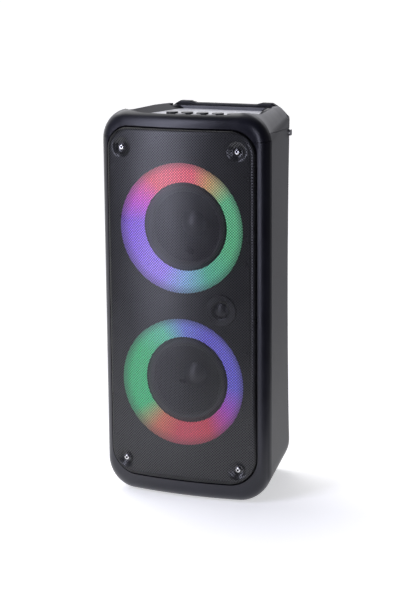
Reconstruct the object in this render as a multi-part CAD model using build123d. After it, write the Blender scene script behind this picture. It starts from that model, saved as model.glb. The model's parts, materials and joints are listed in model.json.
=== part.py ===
from build123d import *
import os
from math import cos, radians, sin

# Party speaker. Millimetres; origin on the floor under the middle of the case, front towards -Y, +Z up.
os.makedirs("parts", exist_ok=True)

# ---- Driving dimensions ----
RING_R = 108.0  # outer radius of a light ring
RING_BORE = 74.0  # its inner radius
RING_PITCH = 260.4  # height between the two light rings
MIDDLE_Z = 332.4  # half way between the rings
RINGS = {"upper": MIDDLE_Z + RING_PITCH / 2, "lower": MIDDLE_Z - RING_PITCH / 2}

HALF_W = 147.0  # of the case at the bezel's back edge
LOW, TOP = 3.0, 655.0  # underside and highest point of the case
FRONT_CORNER = 52.0
WALL = 3.0
CROWN_Y = -116.0  # foremost point of the grille
BEZEL_CROWN_Y = -110.0  # foremost point of the bezel
BOW_R = 580.0  # radius of the bowed front, seen from above
BEZEL_ROUND = 24.0
RIM_Y = -66.0  # where the bezel meets the cabinet
REAR_Y = 116.0

REAR_HALF_TOP, REAR_WAIST, REAR_HALF_LOW = 114.0, 111.0, 115.5
REAR_TOP, WAIST_Z = 651.0, 275.0
REAR_TOP_CORNER, REAR_LOW_CORNER = 28.0, 54.0
REAR_EDGE = 5.0

SEAM_FRONT, SEAM_SIDE, SEAM_REAR = 609.0, 621.5, 608.0  # heights of the top cover's lower edge

GRILLE_HALF, GRILLE_LOW, GRILLE_TOP = 131.0, 35.3, 628.0
GRILLE_LOW_CORNER, GRILLE_TOP_CORNER = 46.0, 42.0
GRILLE_T, GRILLE_ROLL, GRILLE_BACK = 1.2, 8.0, -85.0
GROOVE = 1.6
COLLAR = 2.4
DIMPLES = [(x, z) for x in (-101.5, 101.5) for z in (63.0, 594.0)]
DIMPLE_R, DIMPLE_FLOOR_R, DIMPLE_DEPTH = 18.0, 6.0, 6.0

BAFFLE_FRONT, BAFFLE_STEP, BAFFLE_BACK = -97.0, -84.0, -73.0
RING_SEAT = -77.0  # floor of the pocket that holds each ring
RING_FACE = -79.6  # inner edge of a ring
TWEETER = (70.0, MIDDLE_Z - 2.0)
TWEETER_R = 26.5

DISH_FLOOR, PANEL_T = 637.0, 2.0
# The dish from above: front edge's half length, middle and ends; where its side begins and ends; rear corner
DISH_PLAN = ((70.0, -68.0, -62.7), (103.0, -30.0), (76.0, 88.0), 12.0)
MOUTH_PLAN = ((60.0, -118.0, -114.1), (129.0, 5.0), (114.0, 92.0), 20.0)
MOUTH_Z = 658.0
CORNER_FULLNESS = 0.72
SEAM_GAP = 0.7
BUTTONS_BACK = [(x, 0.0) for x in (-55.0, -27.5, 0.0, 27.5, 55.0)]
BUTTONS_FRONT = [(x, -30.0) for x in (-27.5, 0.0, 27.5)]
BACK_BUTTON_R, FRONT_BUTTON_R = 10.2, 9.0
BUTTON_TOP = 643.4
BUTTON_GAP = 0.4

GRIP_FRONT, GRIP_LOW, GRIP_ROUND = 93.0, 627.0, 3.0
GRIP_SADDLE, GRIP_SADDLE_HALF, GRIP_CREST, GRIP_SHOULDER = 3.0, 55.0, 66.0, 84.0
BAR_FRONT, BAR_PLINTH = 103.0, 4.0
WING_LINE = ((-68.0, 652.0), (94.0, 647.0))  # the wings fall towards the rear along this line
BACK_RIM_HALF, BACK_RIM_Z = 93.0, 644.0  # the cover's low rim in front of the bar, between its wings
GRIP_SLOPE, GRIP_FOOT = (101.0, 640.0), 113.0
POCKET_HALF, POCKET_FRONT, POCKET_LOW = 66.0, 72.0, 592.0

PANEL_HALF, PANEL_LOW, PANEL_TOP = 58.0, 336.0, 406.0
JACKS = {"mic_jack": [(-38.0, 388.0), (-14.0, 388.0)]}
JACK_BORE, JACK_DEPTH, JACK_R = 3.25, 14.0, 6.5
INLET = (10.0, 388.0)
INLET_BORE, INLET_DEPTH, INLET_R = 2.85, 9.0, 5.0
ROCKER = (38.0, 380.0)
ROCKER_HALF_W, ROCKER_HALF_H = 6.0, 9.0
ROCKER_TILT = 8.0
ROCKER_PIN_R = 1.0

FEET = [(x * s, y) for x, y in ((80.0, -40.0), (50.0, 84.0)) for s in (-1, 1)]
FOOT_R, FOOT_TOP = 12.0, 5.0

BAFFLE_SCREWS = [(x, z) for x in (-121.0, 121.0) for z in (100.0, 332.0, 560.0)]
BOARD_Y = 88.0
LEAD_R, LEAD_BEND = 1.5, 6.0


# ---- Helpers ----
def slab(sketch, front, back):
    """A sketch drawn in X and Z, solid from Y = front to Y = back."""
    return extrude(Plane.XZ.offset(-front) * sketch, amount=front - back)


def deck(sketch, low, high):
    """A sketch drawn in X and Y, solid from Z = low to Z = high."""
    return extrude(Plane.XY.offset(low) * sketch, amount=high - low)


def block(x, y, z):
    """A box from pairs of limits."""
    size = [pair[1] - pair[0] for pair in (x, y, z)]
    middle = [(pair[1] + pair[0]) / 2 for pair in (x, y, z)]
    return Pos(*middle) * Box(*size)


def turned(points, x=0.0, z=0.0):
    """A profile of (radius, Y) points, turned about an axis along Y at X = x, Z = z."""
    return Pos(x, 0, z) * revolve(Polygon(*points, align=None), Axis.Y)


def rod(radius, front, back, x=0.0, z=0.0):
    """A round bar along Y."""
    return slab(Pos(x, z) * Circle(radius), front, back)


def post(radius, low, high, x=0.0, y=0.0):
    """A round bar along Z."""
    return deck(Pos(x, y) * Circle(radius), low, high)


def outline(half, low, high, low_corner, high_corner, waist=None):
    """A rectangle with rounded corners; waist is a point that both sides bow through."""
    corners = [(-half[0], low), (half[0], low), (half[1], high), (-half[1], high)]
    if waist is None:
        face = make_face(Polyline(*corners, close=True))
    else:
        right = ThreePointArc(corners[1], waist, corners[2])
        left = ThreePointArc(corners[3], (-waist[0], waist[1]), corners[0])
        face = make_face([Line(*corners[:2]), right, Line(*corners[2:]), left])
    face = fillet(face.vertices().group_by(Axis.Y)[0], low_corner)
    return fillet(face.vertices().group_by(Axis.Y)[-1], high_corner)


def front_outline(inset):
    corner = FRONT_CORNER - inset
    return outline([HALF_W - inset] * 2, LOW + inset, TOP - inset, corner, corner)


def rear_outline(inset):
    half = [REAR_HALF_LOW - inset, REAR_HALF_TOP - inset]
    waist = (REAR_WAIST - inset, WAIST_Z)
    low, high = LOW + inset, REAR_TOP - inset
    return outline(half, low, high, REAR_LOW_CORNER - inset, REAR_TOP_CORNER - inset, waist)


def grille_outline(grow):
    half = [GRILLE_HALF + grow] * 2
    corners = (GRILLE_LOW_CORNER + grow, GRILLE_TOP_CORNER + grow)
    return outline(half, GRILLE_LOW - grow, GRILLE_TOP + grow, *corners)


def bow(crown_y, radius=BOW_R):
    """The inside of the bowed front: an upright cylinder whose front touches Y = crown_y."""
    return Pos(0, crown_y + radius, MIDDLE_Z) * Cylinder(radius, 800)


def bowed(sketch, crown_y, radius, back, roll):
    """A slab whose front is bowed, with a rolled edge round it."""
    shape = slab(sketch, CROWN_Y - 10, back) & bow(crown_y, radius)
    rim = shape.faces().sort_by(Axis.Y)[0].edges()
    return fillet(rim, roll)


def case_front(inset):
    return bowed(
        front_outline(inset), BEZEL_CROWN_Y + inset, BOW_R - inset, RIM_Y, BEZEL_ROUND - inset
    )


def case_rear(inset):
    front = Plane.XZ.offset(-RIM_Y) * front_outline(inset)
    rear = Plane.XZ.offset(inset - REAR_Y) * rear_outline(inset)
    shape = loft((front, rear), ruled=True)
    rim = shape.faces().sort_by(Axis.Y)[-1].edges()
    return fillet(rim, REAR_EDGE - inset / 2)


def cap_zone(lift=0.0):
    """Everything above the top cover's lower edge."""
    back = REAR_Y + 10
    points = [(-140, SEAM_FRONT), (RIM_Y, SEAM_FRONT), (RIM_Y, SEAM_SIDE), (back, SEAM_REAR)]
    points = [(y, z + lift) for y, z in points] + [(back, 700), (-140, 700)]
    return extrude(Plane.YZ * Polygon(*points, align=None), amount=200, both=True)


# ---- The case ----
OUTER = {"front": case_front(0), "rear": case_rear(0)}
INNER = {"front": case_front(WALL), "rear": case_rear(WALL)}
GRILLE_HOLE = slab(grille_outline(GROOVE), CROWN_Y - 10, RIM_Y + 1)


def bezel_shell():
    """The whole front moulding, before the top cover's share is parted from it."""
    collar = slab(grille_outline(GROOVE + COLLAR), CROWN_Y - 10, BAFFLE_STEP)
    return (OUTER["front"] - INNER["front"]) + (collar & OUTER["front"]) - GRILLE_HOLE


def basin(plan, grow):
    """The dish's outline from above: wider in front, where its edge follows the bow."""
    (half, middle, ends), (side_x, side_y), (rear_x, rear_y), corner = plan
    front, side = (half, ends - grow), (side_x + grow, side_y)
    rear = (rear_x + grow, rear_y + grow)
    bend = (side[0] - front[0]) * CORNER_FULLNESS, (front[1] - side[1]) * CORNER_FULLNESS
    edge = ThreePointArc((-half, front[1]), (0, middle - grow), front)
    turn = ThreePointArc(front, (front[0] + bend[0], side[1] + bend[1]), side)
    run = Polyline(side, rear, (-rear[0], rear[1]), (-side[0], side[1]))
    face = make_face([edge, turn, *run.edges(), mirror(turn, Plane.YZ)])
    return fillet(face.vertices().group_by(Axis.Y)[-1], corner + grow)


def dish(grow):
    """The hollow in the top that holds the control panel, widening upwards."""
    low = Plane.XY.offset(DISH_FLOOR - grow) * basin(DISH_PLAN, grow)
    high = Plane.XY.offset(MOUTH_Z) * basin(MOUTH_PLAN, grow)
    return loft((low, high), ruled=True)


def pocket_block(grow):
    """The finger pocket under the carrying bar, open to the rear."""
    half, front = POCKET_HALF + grow, POCKET_FRONT - grow
    low = POCKET_LOW - grow
    tall = block((-half, half), (front, GRIP_FRONT - 1 + grow), (low, DISH_FLOOR - WALL + grow))
    deep = block((-half, half), (front, REAR_Y + 5), (low, GRIP_LOW))
    return tall + deep


def grip_zone():
    return block((-150, 150), (GRIP_FRONT, REAR_Y + 5), (GRIP_LOW, 680))


def make_front_bezel():
    return bezel_shell() - cap_zone(-SEAM_GAP)


def make_rear_cabinet():
    shell = OUTER["rear"] - INNER["rear"] - cap_zone(-SEAM_GAP)
    shell -= pocket_block(WALL + 0.2)
    half, low, high = PANEL_HALF, PANEL_LOW, PANEL_TOP
    ledge = block((-half - 4, half + 4), (REAR_Y - 6, REAR_Y - 3), (low - 4, high + 4))
    shell += ledge
    shell -= block((-half, half), (REAR_Y - 3, REAR_Y + 1), (low, high))
    shell -= block((-half + 6, half - 6), (REAR_Y - 7, REAR_Y + 1), (low + 6, high - 6))
    for x, z in BAFFLE_SCREWS:
        side = 1 if x > 0 else -1
        web = block(sorted((x, x + side * 30)), (RIM_Y, -24), (z - 1.5, z + 1.5))
        shell += (rod(6, RIM_Y, -24, x, z) + web) & OUTER["rear"]
        shell += rod(6, BAFFLE_BACK, RIM_Y, x, z)
        shell -= rod(1.6, BAFFLE_BACK - 1, -40, x, z)
    for x, y in FEET:
        shell += post(5, LOW + WALL, 16, x, y)
        shell -= post(FOOT_R, 0, FOOT_TOP, x, y)
        shell -= post(1.6, 0, 14, x, y)
    for x in (-48, 48):
        for z in (306, 436):
            shell += rod(4, BOARD_Y + 1.6, REAR_Y - WALL, x, z)
    return shell


def make_top_cover():
    cover = bezel_shell() + (OUTER["rear"] - INNER["rear"])
    bowl = dish(WALL)
    floor = (OUTER["front"] & bowl) + (OUTER["rear"] & bowl)
    pocket = pocket_block(WALL) & OUTER["rear"]
    for side in (-1, 1):
        wing_end = block(sorted((side * 70, side * 150)), (GRIP_FRONT - WALL, GRIP_FRONT), (GRIP_LOW - 6, 680))
        floor += wing_end & OUTER["rear"]
    cover = (cover + floor - GRILLE_HOLE) & cap_zone()
    cover += pocket
    cover -= dish(0)
    cover -= pocket_block(0)
    cover -= grip_zone()
    cover -= block((-BACK_RIM_HALF, BACK_RIM_HALF), (80, GRIP_FRONT + 1), (BACK_RIM_Z, 680))
    (y1, z1), (y2, z2) = WING_LINE
    above_wings = make_face(Polyline((y1, z1), (y2, z2), (y2, 680), (y1, 680), (y1, z1)))
    cover -= extrude(Plane.YZ * above_wings, amount=150, both=True)
    for x, y in BUTTONS_BACK + BUTTONS_FRONT:
        cover -= post(12.2, DISH_FLOOR - 10, DISH_FLOOR + 1, x, y)
    for x in (-76, 76):
        for y in (-42, 16):
            cover += post(3, BOARD_TOP, DISH_FLOOR - WALL, x, y)
    return cover


def make_carry_bar():
    """An arched bar with sloping shoulders and a shallow saddle for the hand."""
    low, top = GRIP_LOW, REAR_TOP
    right = ThreePointArc((GRIP_SHOULDER, top), GRIP_SLOPE, (GRIP_FOOT, low))
    left = ThreePointArc((-GRIP_FOOT, low), (-GRIP_SLOPE[0], GRIP_SLOPE[1]), (-GRIP_SHOULDER, top))
    saddle = Polyline(
        (-GRIP_SHOULDER, top), (-GRIP_CREST, top), (-GRIP_SADDLE_HALF, top - GRIP_SADDLE),
        (GRIP_SADDLE_HALF, top - GRIP_SADDLE), (GRIP_CREST, top), (GRIP_SHOULDER, top),
    )
    face = make_face([left, *saddle.edges(), right, Line((GRIP_FOOT, low), (-GRIP_FOOT, low))])
    bar = slab(face, BAR_FRONT, REAR_Y)
    rims = bar.faces().sort_by(Axis.Y)
    edges = [e for rim in (rims[0], rims[-1]) for e in rim.edges() if e.center().Z > low + 1]
    plinth = slab(face, GRIP_FRONT, REAR_Y - 1) & block((-150, 150), (90, 120), (low, low + BAR_PLINTH))
    return fillet(edges, GRIP_ROUND) + plinth


def make_strap_lugs():
    lugs = []
    for side in (-1, 1):
        loop = block(sorted((side * 109.0, side * 118.5)), (101, 112), (597, 607))
        loop = fillet(loop.edges().filter_by(Axis.X), 2.5)
        lugs.append(loop - OUTER["rear"] - rod(2.2, 90, 120, side * 116.2, 602))
    return lugs


# ---- The front: grille, baffle and light rings ----
def dimple(x, z, grow):
    """A cone pressed into the grille round a screw."""
    surface = CROWN_Y + x * x / (2 * BOW_R)
    wide, small = DIMPLE_R + grow, DIMPLE_FLOOR_R + grow
    back = surface + DIMPLE_DEPTH + grow
    return turned([(0, surface - 4), (wide, surface - 4), (wide, surface), (small, back), (0, back)], x, z)


def make_grille():
    skin = bowed(grille_outline(0), CROWN_Y, BOW_R, GRILLE_BACK, GRILLE_ROLL)
    hollow = bowed(
        grille_outline(-GRILLE_T), CROWN_Y + GRILLE_T, BOW_R - GRILLE_T, GRILLE_BACK, GRILLE_ROLL - GRILLE_T
    )
    sheet = skin - hollow
    for x, z in DIMPLES:
        sheet += dimple(x, z, GRILLE_T) & skin
        sheet -= dimple(x, z, 0)
        sheet -= rod(2.2, CROWN_Y, BAFFLE_FRONT, x, z)
    return sheet


def make_grille_gasket():
    ring = grille_outline(GROOVE) - grille_outline(0)
    return slab(ring, GRILLE_BACK - 5, GRILLE_BACK)


def dimple_floor(x):
    return CROWN_Y + x * x / (2 * BOW_R) + DIMPLE_DEPTH


def make_cup_washers():
    profile = [(2.3, 0), (5.0, 0), (4.6, -0.9), (3.2, -1.5), (2.3, -1.2)]
    return [turned([(r, y + dimple_floor(x)) for r, y in profile], x, z) for x, z in DIMPLES]


def make_grille_screws():
    screws = []
    for x, z in DIMPLES:
        seat = dimple_floor(x) - 1.6
        head = turned([(0, seat - 2.4), (2.6, seat - 2.4), (4.0, seat - 1.6), (4.0, seat), (0, seat)], x, z)
        shank = rod(2.0, seat, BAFFLE_STEP + 2, x, z)
        socket = slab(Pos(x, z) * RegularPolygon(2.1, 6), seat - 3, seat - 0.6)
        screws.append(head + shank - socket)
    return screws


def make_front_baffle():
    plate = slab(grille_outline(-3.0), CROWN_Y - 10, BAFFLE_STEP)
    plate &= bow(CROWN_Y + 6.5, BOW_R - 6.5)
    plate &= block((-200, 200), (BAFFLE_FRONT, BAFFLE_BACK), (0, 700))
    flange = slab(grille_outline(6.5), BAFFLE_STEP, BAFFLE_BACK)
    board = plate + flange
    for z in RINGS.values():
        board -= rod(RING_R + 0.6, BAFFLE_FRONT - 1, RING_SEAT, 0, z)
        board -= rod(76.0, RING_SEAT - 1, BAFFLE_BACK + 1, 0, z)
    board -= rod(19.0, BAFFLE_FRONT - 1, BAFFLE_BACK + 1, *TWEETER)
    for x, z in DIMPLES:
        board -= rod(13, CROWN_Y, BAFFLE_FRONT + 2, x, z)
        board -= rod(2.0, BAFFLE_FRONT, BAFFLE_STEP + 2, x, z)
    for x, z in BAFFLE_SCREWS:
        board -= rod(4.2, BAFFLE_FRONT - 1, BAFFLE_FRONT + 3, x, z)
        board -= rod(2.1, BAFFLE_FRONT - 1, BAFFLE_BACK + 1, x, z)
    return board


def make_baffle_screws():
    screws = []
    for x, z in BAFFLE_SCREWS:
        head = rod(3.8, BAFFLE_FRONT + 0.6, BAFFLE_FRONT + 3, x, z)
        screws.append(head + rod(1.6, BAFFLE_FRONT + 3, -42, x, z))
    return screws


def make_light_ring(z):
    face = RING_SEAT - RING_FACE
    profile = [
        (RING_R, BAFFLE_FRONT),
        (RING_R, BAFFLE_FRONT + face),
        (80, RING_SEAT - 1.2),
        (80, RING_SEAT),
        (RING_BORE, RING_SEAT),
        (RING_BORE, RING_FACE),
    ]
    return turned(profile, 0, z)


def make_ring_board(z):
    return turned([(85, RING_SEAT - 1.6), (107, RING_SEAT - 1.6), (107, RING_SEAT), (85, RING_SEAT)], 0, z)


def make_ring_leds(z, count=20, radius=97.0):
    chips = []
    for i in range(count):
        turn = 360.0 * i / count
        x, up = radius * cos(radians(turn)), radius * sin(radians(turn))
        chip = Rot(0, -turn, 0) * Box(5, 1.4, 5)
        chips.append(Pos(x, RING_SEAT - 1.6 - 0.7, z + up) * chip)
    return chips


# ---- Woofers and tweeter ----
FLANGE_Y = BAFFLE_BACK
CONE_LIP = -74.3
FORMER_R = 19.6


def make_basket(z):
    y = FLANGE_Y
    profile = [
        (70, y), (83, y), (83, y + 2.5), (73, y + 2.5), (47, -16), (44, -13), (20.5, -13), (20.5, -15.5),
        (43, -15.5), (45, -18), (70, y + 2.5),
    ]
    frame = turned(profile, 0, z)
    for turn in (30, 90, 150, 210, 270, 330):
        x, up = 58 * cos(radians(turn)), 58 * sin(radians(turn))
        frame -= slab(Pos(x, z + up) * Circle(11), y + 8, -20)
    for turn in (45, 135, 225, 315):
        frame -= rod(2.1, y - 1, y + 4, 79 * cos(radians(turn)), z + 79 * sin(radians(turn)))
    return frame


def make_motor(z):
    ring = turned([(20.5, -13), (42, -13), (42, 5), (20.5, 5)], 0, z)
    yoke = turned([(0, -15), (18.2, -15), (18.2, 5), (42, 5), (42, 10), (0, 10)], 0, z)
    return [ring, yoke]


def make_surround(z):
    front = [(58.5, -75.1), (60, -78), (62.2, -79.6), (65, -80.2), (67.8, -79.6), (70, -78), (71.2, -74.2)]
    lip = [(75.5, -74.2), (75.5, FLANGE_Y), (70.4, FLANGE_Y)]
    back = [(69, -77.2), (67.2, -78.6), (65, -79.1), (62.8, -78.6), (61.2, -77), (61.2, CONE_LIP), (58.5, CONE_LIP)]
    return turned(front + lip + back, 0, z)


def make_cone(z):
    """Paper cone with its lip, running into the voice coil's former."""
    lip = [(61.0, CONE_LIP), (61.0, CONE_LIP + 1.1), (58.0, CONE_LIP + 1.1)]
    former = [(FORMER_R, -37.0), (FORMER_R, -8), (FORMER_R - 0.6, -8), (FORMER_R - 0.6, -38.4)]
    return turned(lip + former + [(57.2, CONE_LIP)], 0, z)


def dome(radius, crown_y, rim_y, thick, x, z):
    """A thin spherical cap, crown forward, of this radius at its rim."""
    rise = rim_y - crown_y
    ball = (radius**2 + rise**2) / (2 * rise)
    shell = Sphere(ball) - Sphere(ball - thick)
    shell &= block((-ball, ball), (-ball - 1, rise - ball), (-ball, ball))
    return Pos(x, crown_y + ball, z) * shell


def make_dust_cap(z):
    return dome(22.0, -49.0, -41.2, 0.8, 0, z)


def make_spider(z):
    points, steps = [], 6
    for i in range(steps + 1):
        radius = FORMER_R + (46.0 - FORMER_R) * i / steps
        points.append((radius, -22.0 + (1.2 if i % 2 else -1.2)))
    back = [(r, y + 0.7) for r, y in reversed(points)]
    return turned(points + back, 0, z)


def make_woofer_screws():
    screws = []
    for z in RINGS.values():
        for turn in (45, 135, 225, 315):
            x, up = 79 * cos(radians(turn)), z + 79 * sin(radians(turn))
            head = rod(3.6, FLANGE_Y + 2.5, FLANGE_Y + 4.7, x, up)
            screws.append(head + rod(1.7, FLANGE_Y, FLANGE_Y + 2.5, x, up))
    return screws


def make_tweeter_body():
    x, z = TWEETER
    front = BAFFLE_FRONT
    plate = turned([(13.2, front - 1.0), (17, front - 2.6), (TWEETER_R - 1, front - 2.6), (TWEETER_R, front - 1.6),
                    (TWEETER_R, front), (18.6, front), (18.6, front + 16), (0, front + 16), (0, front + 6),
                    (13.2, front + 6)], x, z)
    return plate


def make_tweeter_dome():
    return dome(12.8, BAFFLE_FRONT - 3.6, BAFFLE_FRONT + 1.0, 0.7, *TWEETER)


# ---- Controls ----
BOARD_TOP = 627.0
FLANGE_TOP = DISH_FLOOR - 0.2


def make_control_panel():
    panel = deck(basin(DISH_PLAN, -1.5), DISH_FLOOR, DISH_FLOOR + PANEL_T)
    for x, y in BUTTONS_BACK:
        panel -= post(BACK_BUTTON_R + BUTTON_GAP, DISH_FLOOR - 1, 650, x, y)
    for x, y in BUTTONS_FRONT:
        panel -= post(FRONT_BUTTON_R + BUTTON_GAP, DISH_FLOOR - 1, 650, x, y)
    return panel


def make_button(x, y, radius, dome):
    """A cap with a retaining flange under the panel and a stem down to its switch."""
    cap = post(radius, FLANGE_TOP, BUTTON_TOP, x, y)
    cap = fillet(cap.edges().group_by(Axis.Z)[-1], dome)
    flange = post(11.6, FLANGE_TOP - 1.6, FLANGE_TOP, x, y)
    stem = post(2.5, BOARD_TOP + 4.6, FLANGE_TOP - 1.6, x, y)
    return cap + flange + stem


def make_control_board():
    board = deck(Pos(0, -13) * Rectangle(164, 72), BOARD_TOP - 1.6, BOARD_TOP)
    for x in (-76, 76):
        for y in (-42, 16):
            board -= post(1.6, BOARD_TOP - 3, BOARD_TOP + 1, x, y)
    return board


def make_tact_switches():
    spots = BUTTONS_BACK + BUTTONS_FRONT
    return [block((x - 3, x + 3), (y - 3, y + 3), (BOARD_TOP, BOARD_TOP + 3)) for x, y in spots]


# ---- Rear input panel ----
PANEL_FACE = REAR_Y - 0.6


def make_input_panel():
    middle = (PANEL_LOW + PANEL_TOP) / 2
    plate = Pos(0, middle) * Rectangle(2 * PANEL_HALF - 0.6, PANEL_TOP - PANEL_LOW - 0.6)
    panel = slab(fillet(plate.vertices(), 3), REAR_Y - 3, PANEL_FACE)
    for x, z in JACKS["mic_jack"]:
        panel -= rod(JACK_R, REAR_Y - 4, REAR_Y, x, z)
    panel -= rod(INLET_R, REAR_Y - 4, REAR_Y, *INLET)
    x, z = ROCKER
    panel -= block((x - 8.6, x + 8.6), (REAR_Y - 4, REAR_Y), (z - 11.6, z + 11.6))
    for px, pz in panel_screw_spots():
        panel -= rod(1.7, REAR_Y - 4, REAR_Y, px, pz)
    return panel


def panel_screw_spots():
    inset = 3.2
    rows = (PANEL_LOW + inset, PANEL_TOP - inset)
    return [(x, z) for x in (inset - PANEL_HALF, PANEL_HALF - inset) for z in rows]


def make_input_panel_screws():
    screws = []
    for x, z in panel_screw_spots():
        screws.append(rod(2.8, PANEL_FACE, REAR_Y, x, z) + rod(1.5, REAR_Y - 3, PANEL_FACE, x, z))
    return screws


def make_mic_jacks():
    sockets = []
    for x, z in JACKS["mic_jack"]:
        body = rod(JACK_R, REAR_Y - 18, REAR_Y - 0.2, x, z)
        sockets.append(body - rod(JACK_BORE, REAR_Y - 0.2 - JACK_DEPTH, REAR_Y, x, z))
    return sockets


def make_dc_inlet():
    body = rod(INLET_R, REAR_Y - 13, REAR_Y - 0.2, *INLET)
    return body - rod(INLET_BORE, REAR_Y - 0.2 - INLET_DEPTH, REAR_Y, *INLET)


def make_rocker_housing():
    x, z = ROCKER
    outer = block((x - 8.4, x + 8.4), (REAR_Y - 16, PANEL_FACE), (z - 11.4, z + 11.4))
    well = block(
        (x - ROCKER_HALF_W - 0.4, x + ROCKER_HALF_W + 0.4), (REAR_Y - 11, REAR_Y + 1),
        (z - ROCKER_HALF_H - 0.6, z + ROCKER_HALF_H + 0.6),
    )
    pins = Pos(x, REAR_Y - 5, z) * Rot(0, 90, 0) * Cylinder(ROCKER_PIN_R + 0.05, 2 * ROCKER_HALF_W + 3)
    return outer - well - pins


def make_power_rocker():
    x, z = ROCKER
    half, edge = ROCKER_HALF_H, 2.6
    side = Polygon((-half, 1.2), (0, 2.6), (half, 1.2), (half - 0.8, -edge), (-half + 0.8, -edge), align=None)
    face = extrude(Plane(origin=(0, 0, 0), x_dir=(0, 0, 1), z_dir=(1, 0, 0)) * side, amount=ROCKER_HALF_W, both=True)
    face = Rot(0, 0, 180) * face
    pins = Rot(0, 90, 0) * Cylinder(ROCKER_PIN_R, 2 * ROCKER_HALF_W + 2.4)
    return Pos(x, REAR_Y - 5, z) * Rot(ROCKER_TILT, 0, 0) * (face + pins)


# ---- Electronics inside ----
def make_amp_board():
    return block((-56, 56), (BOARD_Y, BOARD_Y + 1.6), (298, 444))


def make_amp_components():
    parts = [rod(8, BOARD_Y - 22, BOARD_Y, x, 426) for x in (-36, -16, 4)]
    parts += [rod(9, BOARD_Y - 12, BOARD_Y, x, 316) for x in (-36, -12, 12, 36)]
    parts.append(block((20, 46), (BOARD_Y - 8, BOARD_Y), (412, 438)))
    return parts


def make_heatsink():
    sink = block((-44, 44), (BOARD_Y - 6, BOARD_Y), (340, 396))
    for i in range(9):
        x = -42 + i * 10.5
        sink += block((x - 1, x + 1), (BOARD_Y - 28, BOARD_Y - 6), (340, 396))
    return sink


def make_battery_pack():
    cells = [post(9.2, 8, 74, x, y) for x in (-28, -9.4, 9.4, 28) for y in (38, 57)]
    return cells


def make_battery_tray():
    tray = block((-42, 42), (24, 71), (LOW + WALL, 8)) + block((-42, 42), (24, 26.5), (8, 40))
    tray += block((-42, 42), (68.5, 71), (8, 40))
    return tray


def make_battery_strap():
    """A flat strap over the cells, hooked to the tray's walls."""
    outer = block((-8, 8), (22.5, 72.5), (36, 76.5))
    inner = block((-9, 9), (24, 71), (35, 40)) + block((-9, 9), (26.5, 68.5), (40, 74.5))
    return outer - inner


def make_speaker_leads():
    """Leads from the amplifier to the woofers' rims and from the cells to the amplifier."""
    front = BOARD_Y
    routes = [
        [(50, front, 304), (50, 60, 304), (77, 30, 250), (77, -30, 202), (77, FLANGE_Y + 2.5, 202)],
        [(51, front, 440), (51, 60, 440), (77, 30, 455), (77, -20, 463), (77, FLANGE_Y + 2.5, 463)],
        [(28, 57, 74), (28, 57, 115), (0, 62, 200), (-50, 62, 290), (-50, 70, 304), (-50, front, 304)],
    ]
    leads = []
    for route in routes:
        path = FilletPolyline(*route, radius=LEAD_BEND)
        start = Plane(origin=path @ 0, z_dir=path % 0)
        leads.append(sweep(start * Circle(LEAD_R), path=path))
    return leads


def make_feet():
    feet = []
    for x, y in FEET:
        pad = post(FOOT_R - 0.2, 0, FOOT_TOP, x, y)
        pad = chamfer(pad.edges().group_by(Axis.Z)[0], 1.2)
        pad -= post(4.2, 0, 3, x, y)
        feet.append(pad - post(1.8, 0, FOOT_TOP + 1, x, y))
    return feet


def make_foot_screws():
    return [post(3.8, 1.0, 3, x, y) + post(1.6, 3, 13.5, x, y) for x, y in FEET]


def make_board_screws():
    spots = [(x, y) for x in (-76, 76) for y in (-42, 16)]
    return [post(3, BOARD_TOP - 3.6, BOARD_TOP - 1.6, x, y) + post(1.4, BOARD_TOP - 1.6, BOARD_TOP, x, y) for x, y in spots]


def make_all():
    """Every sub-part's solids, by node name."""
    nodes = {
        "front_bezel": make_front_bezel(),
        "rear_cabinet": make_rear_cabinet(),
        "top_cover": make_top_cover(),
        "carry_bar": make_carry_bar(),
        "strap_lugs": make_strap_lugs(),
        "grille": make_grille(),
        "grille_gasket": make_grille_gasket(),
        "cup_washers": make_cup_washers(),
        "grille_screws": make_grille_screws(),
        "front_baffle": make_front_baffle(),
        "baffle_screws": make_baffle_screws(),
        "woofer_screws": make_woofer_screws(),
        "tweeter_body": make_tweeter_body(),
        "tweeter_dome": make_tweeter_dome(),
        "control_panel": make_control_panel(),
        "control_board": make_control_board(),
        "board_screws": make_board_screws(),
        "tact_switches": make_tact_switches(),
        "input_panel": make_input_panel(),
        "input_panel_screws": make_input_panel_screws(),
        "mic_jacks": make_mic_jacks(),
        "dc_inlet": make_dc_inlet(),
        "rocker_housing": make_rocker_housing(),
        "power_rocker": make_power_rocker(),
        "amp_board": make_amp_board(),
        "amp_components": make_amp_components(),
        "heatsink": make_heatsink(),
        "battery_cells": make_battery_pack(),
        "battery_tray": make_battery_tray(),
        "battery_strap": make_battery_strap(),
        "speaker_leads": make_speaker_leads(),
        "feet": make_feet(),
        "foot_screws": make_foot_screws(),
    }
    for name, z in RINGS.items():
        nodes[f"light_ring_{name}"] = make_light_ring(z)
        nodes[f"ring_board_{name}"] = make_ring_board(z)
        nodes[f"ring_leds_{name}"] = make_ring_leds(z)
        nodes[f"woofer_basket_{name}"] = make_basket(z)
        nodes[f"woofer_motor_{name}"] = make_motor(z)
        nodes[f"surround_{name}"] = make_surround(z)
        nodes[f"spider_{name}"] = make_spider(z)
        nodes[f"cone_{name}"] = make_cone(z)
        nodes[f"dust_cap_{name}"] = make_dust_cap(z)
    for i, (x, y) in enumerate(BUTTONS_BACK, 1):
        nodes[f"button_back_{i}"] = make_button(x, y, BACK_BUTTON_R, 1.2)
    for i, (x, y) in enumerate(BUTTONS_FRONT, 1):
        nodes[f"button_front_{i}"] = make_button(x, y, FRONT_BUTTON_R, 2.4)
    return nodes


for node, shape in make_all().items():
    solids = shape if isinstance(shape, list) else [shape]
    pieces = [solid for item in solids for solid in item.solids()]
    export_step(Compound(children=pieces) if len(pieces) > 1 else pieces[0], f"parts/{node}.step")
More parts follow.
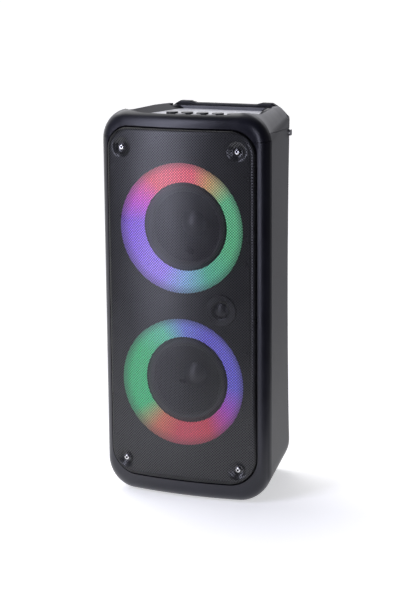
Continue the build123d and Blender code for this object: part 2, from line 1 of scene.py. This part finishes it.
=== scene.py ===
"""Party speaker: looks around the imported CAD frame. Metres, front towards -Y, +Z up."""

import json
import math

import bpy
import numpy as np
from mathutils import Matrix, Vector
from mathutils.geometry import delaunay_2d_cdt


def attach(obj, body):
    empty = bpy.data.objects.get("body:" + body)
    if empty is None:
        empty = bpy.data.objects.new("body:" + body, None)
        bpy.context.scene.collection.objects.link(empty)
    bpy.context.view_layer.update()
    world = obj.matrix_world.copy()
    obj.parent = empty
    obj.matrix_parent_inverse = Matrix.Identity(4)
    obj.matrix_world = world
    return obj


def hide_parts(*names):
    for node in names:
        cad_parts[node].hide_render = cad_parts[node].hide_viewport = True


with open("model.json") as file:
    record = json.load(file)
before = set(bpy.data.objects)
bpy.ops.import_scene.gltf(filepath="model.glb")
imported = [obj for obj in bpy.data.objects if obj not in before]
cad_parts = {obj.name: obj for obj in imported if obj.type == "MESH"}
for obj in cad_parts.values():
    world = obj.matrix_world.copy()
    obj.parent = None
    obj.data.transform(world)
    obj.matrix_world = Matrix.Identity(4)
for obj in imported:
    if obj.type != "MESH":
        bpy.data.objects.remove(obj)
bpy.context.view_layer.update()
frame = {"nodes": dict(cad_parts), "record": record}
NODES = frame["nodes"]
MM = 0.001

# ---- Driving dimensions, in millimetres; the first block is the same as the CAD's ----
MIDDLE_Z = 332.4  # half way between the two woofers
RINGS = {"upper": MIDDLE_Z + 130.2, "lower": MIDDLE_Z - 130.2}  # their centres
CROWN_Y, BOW_R = -116.0, 580.0  # the grille's foremost line, and the radius of its bow
GRILLE_HALF, GRILLE_LOW, GRILLE_TOP = 131.0, 35.3, 628.0
LOW_CORNER, TOP_CORNER = 46.0, 42.0  # corner radii of the grille
GRILLE_ROLL, GRILLE_BACK = 8.0, -85.0  # radius of the rolled edge; where the skirt behind it ends
SCREW_X, SCREW_Z = 101.5, (63.0, 594.0)  # axes of the grille screws
DIMPLES = [(x, z) for x in (-SCREW_X, SCREW_X) for z in SCREW_Z]
DIMPLE_R, DIMPLE_FLOOR_R, DIMPLE_DEPTH = 18.0, 6.0, 6.0

SOCKET_SHADE_R = 2.0  # radius of the painted shade that stands for the hollow of a grille screw's socket
HOLE_PERIOD = 4.6  # of the perforation, along a row
HOLE_SHARE = 0.76  # a hole's diagonal over that period
PLAIN_EDGE = 2.4  # no hole's centre is nearer to the blank's edge
PLAIN_FLOOR = 0.6  # nor nearer to the flat floor of a dimple
EDGE_STEP = 2.0  # between the points round the blank

GLOW_FADE = (92.0, 110.0)  # radii between which a light ring's glow falls
GLOW_STRENGTH, GLOW_RIM_SHARE = 1.15, 0.4  # inside that, and the share left outside


# ---- Materials ----
def shader_parts(material):
    """A material's nodes and links, and its Principled shader."""
    nodes = material.node_tree.nodes
    return nodes, material.node_tree.links, nodes["Principled BSDF"]


def new_material(name):
    """A new material, with its nodes and links, and its Principled shader."""
    made = bpy.data.materials.new(name)
    made.use_nodes = True
    return made, *shader_parts(made)


def feed(links, socket, value):
    """Sets a socket to a number or a colour, or links a field to it."""
    if isinstance(value, (float, tuple)):
        socket.default_value = value
    else:
        links.new(value, socket)


def axes_of(nodes, links, output):
    """The X, Y and Z fields of a texture coordinate."""
    place = nodes.new("ShaderNodeTexCoord")
    parts = nodes.new("ShaderNodeSeparateXYZ")
    links.new(place.outputs[output], parts.inputs["Vector"])
    return [parts.outputs[axis] for axis in "XYZ"]


def math_step(nodes, links, kind, *values):
    """A math node on numbers or fields."""
    node = nodes.new("ShaderNodeMath")
    node.operation = kind
    for socket, value in zip(node.inputs, values):
        feed(links, socket, value)
    return node.outputs["Value"]


def map_range(nodes, links, source, start, end, low, high, kind="SMOOTHSTEP"):
    """Low to high as source goes from start to end."""
    node = nodes.new("ShaderNodeMapRange")
    node.interpolation_type = kind
    for name, value in zip(("From Min", "From Max", "To Min", "To Max"), (start, end, low, high)):
        node.inputs[name].default_value = value
    links.new(source, node.inputs["Value"])
    return node.outputs["Result"]


def mix(nodes, links, kind, factor, a, b):
    """A where factor is 0, and b where it is 1; kind is FLOAT or RGBA."""
    node = nodes.new("ShaderNodeMix")
    node.data_type = kind
    for name, value in (("Factor", factor), ("A", a), ("B", b)):
        feed(links, node.inputs[name], value)
    return node.outputs["Result"]


def distance(nodes, links, x, z):
    """The length of (x, z)."""
    squares = [math_step(nodes, links, "MULTIPLY", side, side) for side in (x, z)]
    return math_step(nodes, links, "SQRT", math_step(nodes, links, "ADD", *squares))


def noise(nodes, links, scale, detail):
    """A noise field in object space."""
    place = nodes.new("ShaderNodeTexCoord")
    field = nodes.new("ShaderNodeTexNoise")
    field.inputs["Scale"].default_value = scale
    field.inputs["Detail"].default_value = detail
    links.new(place.outputs["Object"], field.inputs["Vector"])
    return field.outputs["Fac"]


def ramp(nodes, links, source, stops):
    """A colour ramp on source; stops are (place, colour)."""
    node = nodes.new("ShaderNodeValToRGB")
    items = node.color_ramp.elements
    items[0].position, items[0].color = stops[0][0], (*stops[0][1], 1)
    items[1].position, items[1].color = stops[-1][0], (*stops[-1][1], 1)
    for place, colour in stops[1:-1]:
        items.new(place).color = (*colour, 1)
    links.new(source, node.inputs["Fac"])
    return node.outputs["Color"]


def bump(nodes, links, source, shader, strength, depth):
    """A bump of that depth in millimetres."""
    node = nodes.new("ShaderNodeBump")
    node.inputs["Strength"].default_value = strength
    node.inputs["Distance"].default_value = depth * MM
    links.new(source, node.inputs["Height"])
    links.new(node.outputs["Normal"], shader.inputs["Normal"])


def surface(
    name, dark, light, rough, grain, depth=0.05, strength=0.5, mottle=25, metallic=0.0, specular=0.5
):
    """A moulded, painted, sprayed or machined finish: mottled colour, uneven roughness and a fine grain."""
    made, nodes, links, shader = new_material(name)
    shader.inputs["Metallic"].default_value = metallic
    shader.inputs["Specular IOR Level"].default_value = specular
    wide = noise(nodes, links, mottle, 4)
    low, high = 0.3, 0.7  # most of a noise field lies between these
    links.new(ramp(nodes, links, wide, [(low, dark), (high, light)]), shader.inputs["Base Color"])
    links.new(map_range(nodes, links, wide, low, high, *rough, "LINEAR"), shader.inputs["Roughness"])
    bump(nodes, links, noise(nodes, links, grain, 2), shader, strength, depth)
    return made


def glow(name, middle_z, stops):
    """A milky diffuser lit from behind: its colour goes round with the angle from the top, clockwise."""
    made, nodes, links, shader = new_material(name)
    x, _, z = axes_of(nodes, links, "Object")
    up = math_step(nodes, links, "SUBTRACT", z, middle_z * MM)
    angle = math_step(nodes, links, "ARCTAN2", x, up)
    turn = math_step(nodes, links, "DIVIDE", angle, 2 * math.pi)
    turn = math_step(nodes, links, "FRACT", math_step(nodes, links, "ADD", turn, 1.0))
    radius = distance(nodes, links, x, up)
    fade_in, fade_out = (r * MM for r in GLOW_FADE)
    rim = GLOW_STRENGTH * GLOW_RIM_SHARE
    power = map_range(nodes, links, radius, fade_in, fade_out, GLOW_STRENGTH, rim)
    shader.inputs["Roughness"].default_value = 0.45
    shader.inputs["Base Color"].default_value = (0.07, 0.07, 0.08, 1)
    links.new(ramp(nodes, links, turn, stops), shader.inputs["Emission Color"])
    links.new(power, shader.inputs["Emission Strength"])
    bump(nodes, links, noise(nodes, links, 300, 2), shader, 0.3, 0.05)
    return made


RED, ORANGE, GREEN = (0.78, 0.09, 0.15), (0.56, 0.32, 0.12), (0.09, 0.46, 0.22)
TEAL, SKY, BLUE = (0.08, 0.44, 0.30), (0.21, 0.40, 0.74), (0.10, 0.08, 0.56)
VIOLET, PURPLE, PINK = (0.31, 0.20, 0.90), (0.26, 0.12, 0.84), (0.62, 0.07, 0.66)
MAROON, RUST, LEAF = (0.48, 0.015, 0.04), (0.52, 0.13, 0.06), (0.03, 0.46, 0.18)
MINT, STEEL_BLUE, PLUM = (0.08, 0.50, 0.34), (0.12, 0.16, 0.62), (0.32, 0.03, 0.42)
GLOWS = {
    "upper": [
        (0.0, RED), (0.03, RED), (0.085, ORANGE), (0.16, GREEN), (0.32, GREEN), (0.42, TEAL),
        (0.50, SKY), (0.57, VIOLET), (0.76, PURPLE), (0.83, PINK), (0.90, RED), (1.0, RED),
    ],
    "lower": [
        (0.0, STEEL_BLUE), (0.07, BLUE), (0.26, BLUE), (0.34, PLUM), (0.42, MAROON), (0.52, MAROON),
        (0.59, RUST), (0.66, LEAF), (0.84, LEAF), (0.93, MINT), (1.0, STEEL_BLUE),
    ],
}

FINISHES = {
    "shell_plastic": surface(
        "shell_plastic_black", (0.007, 0.007, 0.011), (0.010, 0.010, 0.016), (0.28, 0.36), 1500,
        0.04
    ),
    "bar_plastic": surface(
        "bar_plastic_black", (0.004, 0.004, 0.006), (0.007, 0.007, 0.010), (0.34, 0.42), 1400,
        specular=0.3
    ),
    "lug_steel": surface(
        "lug_steel_plated", (0.35, 0.35, 0.37), (0.5, 0.5, 0.52), (0.25, 0.35), 800, metallic=1.0
    ),
    "grille_steel": surface(
        "grille_steel_black", (0.006, 0.006, 0.007), (0.010, 0.010, 0.011), (0.27, 0.34), 1200,
        0.02, 0.4, specular=1.0
    ),
    "foam": surface(
        "foam_black", (0.006, 0.006, 0.006), (0.012, 0.012, 0.012), (0.9, 1.0), 700, 0.3, 0.8
    ),
    "zinc_screw": surface(
        "zinc_screw", (0.62, 0.62, 0.62), (0.78, 0.78, 0.76), (0.2, 0.3), 600, metallic=1.0
    ),
    "black_screw": surface(
        "black_screw", (0.02, 0.02, 0.02), (0.05, 0.05, 0.05), (0.35, 0.5), 700, metallic=1.0
    ),
    "baffle_board": surface(
        "baffle_board_black", (0.005, 0.005, 0.005), (0.009, 0.009, 0.009), (0.6, 0.75), 500, 0.1
    ),
    "circuit_board": surface(
        "circuit_board_green", (0.01, 0.06, 0.03), (0.02, 0.09, 0.04), (0.35, 0.5), 400
    ),
    "led_chip": surface("led_chip_cream", (0.7, 0.66, 0.5), (0.85, 0.8, 0.62), (0.3, 0.4), 400),
    "basket_steel": surface(
        "basket_steel", (0.03, 0.03, 0.03), (0.06, 0.06, 0.06), (0.35, 0.5), 500, metallic=1.0
    ),
    "ferrite": surface(
        "ferrite_grey", (0.04, 0.04, 0.045), (0.08, 0.08, 0.085), (0.6, 0.75), 500, 0.1
    ),
    "cone_paper": surface(
        "cone_paper_black", (0.007, 0.007, 0.008), (0.013, 0.013, 0.014), (0.65, 0.8), 350,
        0.15, 0.8
    ),
    "cap_plastic": surface(
        "cap_plastic_black", (0.010, 0.010, 0.012), (0.018, 0.018, 0.022), (0.28, 0.36), 500
    ),
    "surround_rubber": surface(
        "surround_rubber", (0.010, 0.010, 0.010), (0.02, 0.02, 0.02), (0.5, 0.6), 400
    ),
    "spider_cloth": surface(
        "spider_cloth", (0.30, 0.20, 0.07), (0.42, 0.29, 0.11), (0.8, 0.9), 800, 0.2, 0.8
    ),
    "silver_panel": surface(
        "silver_panel", (0.80, 0.80, 0.82), (0.86, 0.86, 0.88), (0.22, 0.28), 900,
        0.004, 0.2, metallic=0.25
    ),
    "button_black": surface(
        "button_black", (0.012, 0.012, 0.013), (0.02, 0.02, 0.022), (0.25, 0.35), 900
    ),
    "button_grey": surface("button_grey", (0.10, 0.10, 0.11), (0.16, 0.16, 0.17), (0.3, 0.4), 900),
    "component_black": surface(
        "component_black", (0.02, 0.02, 0.02), (0.04, 0.04, 0.04), (0.4, 0.55), 600
    ),
    "heatsink_alloy": surface(
        "heatsink_alloy", (0.5, 0.5, 0.52), (0.66, 0.66, 0.68), (0.35, 0.45), 700, metallic=1.0
    ),
    "cell_wrap": surface("cell_wrap_blue", (0.02, 0.12, 0.4), (0.03, 0.17, 0.5), (0.3, 0.4), 500),
    "tray_plastic": surface(
        "tray_plastic", (0.02, 0.02, 0.022), (0.04, 0.04, 0.042), (0.45, 0.6), 700
    ),
    "jack_plastic": surface(
        "jack_plastic", (0.012, 0.012, 0.012), (0.022, 0.022, 0.022), (0.35, 0.45), 900
    ),
    "lead_wire": surface("lead_wire_red", (0.35, 0.02, 0.02), (0.5, 0.03, 0.03), (0.4, 0.5), 700),
    "foot_rubber": surface(
        "foot_rubber", (0.012, 0.012, 0.012), (0.022, 0.022, 0.022), (0.7, 0.85), 500, 0.15, 0.8
    ),
}
for level, stops in GLOWS.items():
    FINISHES["diffuser_" + level] = glow("diffuser_lit_" + level, RINGS[level], stops)


def paint_socket_shade():
    """Painted shade inside the sockets of the grille screws: black within a socket's radius of each screw's
    axis, where the hollow would lie in shade.
    """
    nodes, links, shader = shader_parts(FINISHES["zinc_screw"])
    x, _, z = axes_of(nodes, links, "Object")

    def off(source, value):
        node = math_step(nodes, links, "SUBTRACT", source, value * MM)
        return math_step(nodes, links, "ABSOLUTE", node)

    x_off = off(math_step(nodes, links, "ABSOLUTE", x), SCREW_X)
    z_off = math_step(nodes, links, "MINIMUM", *(off(z, value) for value in SCREW_Z))
    away = distance(nodes, links, x_off, z_off)
    # Painted shade: over each socket's hollow, the plated colour turns black.
    inside = math_step(nodes, links, "LESS_THAN", away, SOCKET_SHADE_R * MM)
    plated = shader.inputs["Base Color"].links[0].from_socket
    with_painted_shade = mix(nodes, links, "RGBA", inside, plated, (0.01, 0.01, 0.01, 1))
    links.new(with_painted_shade, shader.inputs["Base Color"])


def matte_sides():
    """The mould is grained on the flanks of the case and smoother on its front and top."""
    nodes, links, shader = shader_parts(FINISHES["shell_plastic"])
    sideways = math_step(nodes, links, "ABSOLUTE", axes_of(nodes, links, "Normal")[0])
    flank_start, flank_full = 0.90, 0.985  # how squarely a face looks sideways
    flank = map_range(nodes, links, sideways, flank_start, flank_full, 0.0, 1.0)
    front_rough = shader.inputs["Roughness"].links[0].from_socket
    front_specular = shader.inputs["Specular IOR Level"].default_value
    for name, front, side in (
        ("Roughness", front_rough, 0.50),
        ("Specular IOR Level", front_specular, 0.30),
    ):
        links.new(mix(nodes, links, "FLOAT", flank, front, side), shader.inputs[name])


paint_socket_shade()
matte_sides()


def dress(obj, finish):
    """Gives every slot of an object the one finish."""
    if not obj.material_slots:
        obj.data.materials.append(FINISHES[finish])
    for slot in obj.material_slots:
        slot.material = FINISHES[finish]


def shade(obj, angle):
    """Smooth shading, with edges sharper than the angle, in degrees, kept."""
    obj.data.shade_smooth()
    obj.data.set_sharp_from_angle(angle=math.radians(angle))


# ---- The grille ----
ARC = GRILLE_ROLL * math.pi / 2  # length of sheet in the rolled edge
GROWN = ARC - GRILLE_ROLL  # how much further out the edge of the flat blank is
BLANK_HALF = GRILLE_HALF + GROWN
BLANK_MIDDLE = (GRILLE_LOW + GRILLE_TOP) / 2
BLANK_TALL = (GRILLE_TOP - GRILLE_LOW) / 2 + GROWN
BLANK_LOW_CORNER, BLANK_TOP_CORNER = LOW_CORNER + GROWN, TOP_CORNER + GROWN


def inset(u, v):
    """How far inside the blank's rounded outline points lie, and the outward direction there."""
    tiny = 1e-9
    corner = np.where(v > BLANK_MIDDLE, BLANK_TOP_CORNER, BLANK_LOW_CORNER)
    qx, qz = np.abs(u) - (BLANK_HALF - corner), np.abs(v - BLANK_MIDDLE) - (BLANK_TALL - corner)
    ox, oz = np.maximum(qx, 0), np.maximum(qz, 0)
    away = np.hypot(ox, oz)
    depth = corner - away - np.minimum(np.maximum(qx, qz), 0)
    in_corner = away > tiny
    nx = np.where(in_corner, ox / np.maximum(away, tiny), (qx > qz) * 1.0) * np.sign(u)
    nz = np.where(in_corner, oz / np.maximum(away, tiny), (qx <= qz) * 1.0) * np.sign(v - BLANK_MIDDLE)
    return depth, nx, nz


def outline_loop():
    """Points round the blank's outline, anticlockwise seen from the front."""
    corners = []  # centre, radius and first angle
    for side, tall, r, start in (
        (1, -1, BLANK_LOW_CORNER, -90),
        (1, 1, BLANK_TOP_CORNER, 0),
        (-1, 1, BLANK_TOP_CORNER, 90),
        (-1, -1, BLANK_LOW_CORNER, 180),
    ):
        corners.append((side * (BLANK_HALF - r), BLANK_MIDDLE + tall * (BLANK_TALL - r), r, start))

    def at(corner, turned):
        """The point of a corner that many degrees on from its start."""
        x, z, r, start = corner
        a = math.radians(start + turned)
        return x + r * math.cos(a), z + r * math.sin(a)

    points = []
    for corner, after in zip(corners, corners[1:] + corners[:1]):
        turns = max(2, round(corner[2] * math.pi / 2 / EDGE_STEP))
        points += [at(corner, 90 * k / turns) for k in range(turns + 1)]
        begin, end = points[-1], at(after, 0)
        count = max(2, round(math.dist(begin, end) / EDGE_STEP))
        points += [
            tuple(b + (e - b) * k / count for b, e in zip(begin, end)) for k in range(1, count)
        ]
    return points


def bow(x):
    """Y of the bowed sheet's front."""
    return CROWN_Y + BOW_R - np.sqrt(BOW_R**2 - x**2)


def press(u, v):
    """Depth of the dimples."""
    deep = np.zeros_like(u)
    for x, z in DIMPLES:
        away = np.hypot(u - x, v - z)
        t = np.clip((DIMPLE_R - away) / (DIMPLE_R - DIMPLE_FLOOR_R), 0, 1)
        deep += DIMPLE_DEPTH * t * t * (3 - 2 * t)
    return deep


def sheet_place(u, v):
    """From the flat blank to the bowed sheet with its rolled edge."""
    depth, nx, nz = inset(u, v)
    turn = np.clip((ARC - depth) / GRILLE_ROLL, 0, math.pi / 2)
    wanted = np.where(turn > 0, GRILLE_ROLL - GRILLE_ROLL * np.sin(turn), depth - GROWN)
    move = wanted - (depth - GROWN)
    x, z = u - nx * move, v - nz * move
    y = bow(x) + GRILLE_ROLL * (1 - np.cos(turn)) + press(u, v)
    return x, y, z


def hole_centres():
    """Row and column numbers of the holes, and their centres on the blank."""
    reach = int((BLANK_HALF + BLANK_TALL) / HOLE_PERIOD) + 2  # rows and columns that cover it
    m, n = np.meshgrid(np.arange(-reach, reach), np.arange(-reach, reach), indexing="ij")
    u, v = (m + n) * HOLE_PERIOD / 2, (m - n) * HOLE_PERIOD / 2 + MIDDLE_Z
    keep = inset(u, v)[0] > PLAIN_EDGE
    for x, z in DIMPLES:
        keep &= np.hypot(u - x, v - z) > DIMPLE_FLOOR_R + PLAIN_FLOOR
    return m[keep], n[keep], u[keep], v[keep]


def in_a_hole(places, m, n):
    """Which of the places on the blank are inside a hole."""
    holes = set(zip(m.tolist(), n.tolist()))
    rows = (places[:, 0] + places[:, 1] - MIDDLE_Z) / HOLE_PERIOD
    columns = (places[:, 0] - places[:, 1] + MIDDLE_Z) / HOLE_PERIOD
    row, column = np.rint(rows), np.rint(columns)
    near = np.maximum(np.abs(rows - row), np.abs(columns - column)) < HOLE_SHARE / 2
    return np.array([close and (int(a), int(b)) in holes for close, a, b in zip(near, row, column)])


def make_grille():
    """The perforated sheet, cut as a flat blank and then bowed, rolled and dimpled."""
    m, n, cu, cv = hole_centres()
    half = HOLE_SHARE * HOLE_PERIOD / 2
    corners = [(half, 0), (0, half), (-half, 0), (0, -half)]
    points = np.stack([np.stack([cu + a, cv + b], 1) for a, b in corners], 1).reshape(-1, 2).tolist()
    edges = [(4 * i + k, 4 * i + (k + 1) % 4) for i in range(len(cu)) for k in range(4)]
    loop = outline_loop()
    first, count = len(points), len(loop)
    points += loop
    edges += [(first + i, first + (i + 1) % count) for i in range(count)]
    for x, z in DIMPLES:
        for r, around in ((DIMPLE_FLOOR_R, 16), (DIMPLE_FLOOR_R / 2, 8)):  # points on the flat floor
            turns = [2 * math.pi * k / around for k in range(around)]
            points += [(x + r * math.cos(a), z + r * math.sin(a)) for a in turns]
    inside_only, merge = 1, 1e-5
    flat = [Vector(p) for p in points]
    verts, _, faces, came_from, *_ = delaunay_2d_cdt(flat, edges, [], inside_only, merge)
    at = np.array([tuple(p) for p in verts])
    tris = np.array(faces)
    tris = tris[~in_a_hole(at[tris].mean(1), m, n)]
    front = np.stack(sheet_place(at[:, 0], at[:, 1]), 1) * MM
    # The straight skirt behind the rolled edge, down into the groove.
    new_index = {old: i for i, olds in enumerate(came_from) for old in olds}
    rim, base = [new_index[first + i] for i in range(count)], len(front)
    back = [(front[i][0], GRILLE_BACK * MM, front[i][2]) for i in rim]
    skirt = [(rim[i], rim[(i + 1) % count], base + (i + 1) % count, base + i) for i in range(count)]
    mesh = bpy.data.meshes.new("grille_perforated")
    mesh.from_pydata(np.vstack([front, back]).tolist(), [], [tuple(t) for t in tris.tolist()] + skirt)
    mesh.update()
    made = bpy.data.objects.new("grille_perforated", mesh)
    bpy.context.scene.collection.objects.link(made)
    shade(made, 50)
    dress(made, "grille_steel")
    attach(made, "case")
    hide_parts("grille")


make_grille()

# ---- The CAD nodes that stay ----
SLOT_OF = {part["node"]: part["material_slot"] for part in frame["record"]["subparts"]}
for name, node in NODES.items():
    if node.hide_render:
        continue
    if name.startswith("light_ring_"):
        dress(node, "diffuser_" + name.rsplit("_", 1)[1])
    else:
        dress(node, SLOT_OF[name])
    shade(node, 32)

# ---- The floor: a white light table, slanted on the right so that it doesn't light that flank ----
FLOOR = [(-12, -0.8, 0), (0.55, -0.8, 0), (0.45, 0.2, 0), (-9, 40, 0), (-22, 40, 0)]
FLOOR_LIT = 0.52
floor_mesh = bpy.data.meshes.new("floor")
floor_mesh.from_pydata(FLOOR, [], [tuple(range(len(FLOOR)))])
floor = bpy.data.objects.new("floor", floor_mesh)
bpy.context.scene.collection.objects.link(floor)
white = surface(
    "floor_white", (0.88, 0.88, 0.88), (0.9, 0.9, 0.9), (0.8, 0.9), 60, 0.1, 0.1, mottle=4, specular=0.1
)
lit = shader_parts(white)[2]
lit.inputs["Emission Color"].default_value = (1, 1, 1, 1)
lit.inputs["Emission Strength"].default_value = FLOOR_LIT
floor_mesh.materials.append(white)

# ---- The room: bright behind the object up to head height, dim in front, overhead and to the right ----
DIM, BRIGHT, OVERHEAD = 0.06, 1.2, 0.45
world = bpy.data.worlds.new("studio")
bpy.context.scene.world = world
world.use_nodes = True
sky, wires = world.node_tree.nodes, world.node_tree.links
to_right, to_back, to_top = axes_of(sky, wires, "Generated")
behind = map_range(sky, wires, to_back, -0.15, 0.45, DIM, BRIGHT)
overhead = map_range(sky, wires, to_top, 0.40, 0.80, 1.0, OVERHEAD)
beside = map_range(sky, wires, to_right, -0.20, 0.50, 1.0, DIM)
level = math_step(sky, wires, "MULTIPLY", math_step(sky, wires, "MULTIPLY", behind, overhead), beside)
wires.new(level, sky["Background"].inputs["Strength"])
sky["Background"].inputs["Color"].default_value = (0.94, 0.94, 1.0, 1)

# ---- Lamps ----
LAMP_AIM, LAMP_COLOUR = Vector((0, -0.1, 0.4)), (0.78, 0.79, 1.0)
SUN, SUN_SOFTNESS, SUN_WAY = 1.5, 50, Vector((0.62, -0.42, -1.0))


def softbox(name, azimuth, elevation, distance_off, width, height, radiance):
    """A rectangular area light; azimuth is from the front, positive to the right."""
    lamp = bpy.data.lights.new(name, "AREA")
    lamp.shape, lamp.size, lamp.size_y = "RECTANGLE", width, height
    lamp.energy, lamp.color = radiance * math.pi * width * height, LAMP_COLOUR
    made = bpy.data.objects.new(name, lamp)
    a, e = math.radians(azimuth), math.radians(elevation)
    away = Vector((math.sin(a) * math.cos(e), -math.cos(a) * math.cos(e), math.sin(e)))
    made.location = LAMP_AIM + away * distance_off
    made.rotation_euler = (-away).to_track_quat("-Z", "Y").to_euler()
    bpy.context.scene.collection.objects.link(made)


softbox("strip", -30, 16, 2.2, 0.75, 2.6, 6.6)
softbox("side_fill", 48, 8, 2.4, 0.6, 2.2, 4.2)
sun = bpy.data.lights.new("sun", "SUN")
sun.energy, sun.angle = SUN, math.radians(SUN_SOFTNESS)
sun_at = bpy.data.objects.new("sun", sun)
sun_at.rotation_euler = SUN_WAY.to_track_quat("-Z", "Y").to_euler()
bpy.context.scene.collection.objects.link(sun_at)

# ---- The camera: 22.5 degrees round to the right of the front, and 12.3 degrees up ----
YAW, PITCH, ROLL = (math.radians(a) for a in (22.48, 12.31, -0.47))
AIM, DISTANCE = Vector((0.0327, -0.0945, 0.3442)), 2.873
ahead = Vector((-math.sin(YAW) * math.cos(PITCH), math.cos(YAW) * math.cos(PITCH), -math.sin(PITCH)))
right = Vector((math.cos(YAW), math.sin(YAW), 0))
above = right.cross(ahead)
across = right * math.cos(ROLL) + above * math.sin(ROLL)
upward = above * math.cos(ROLL) - right * math.sin(ROLL)
lens = bpy.data.cameras.new("camera")
lens.lens, lens.sensor_width, lens.sensor_fit = 104.5, 36, "AUTO"
camera = bpy.data.objects.new("camera", lens)
turned = Matrix((across, upward, -ahead)).transposed().to_4x4()
camera.matrix_world = Matrix.Translation(AIM - ahead * DISTANCE) @ turned
bpy.context.scene.collection.objects.link(camera)
bpy.context.scene.camera = camera
bpy.context.scene.view_settings.view_transform = "Standard"
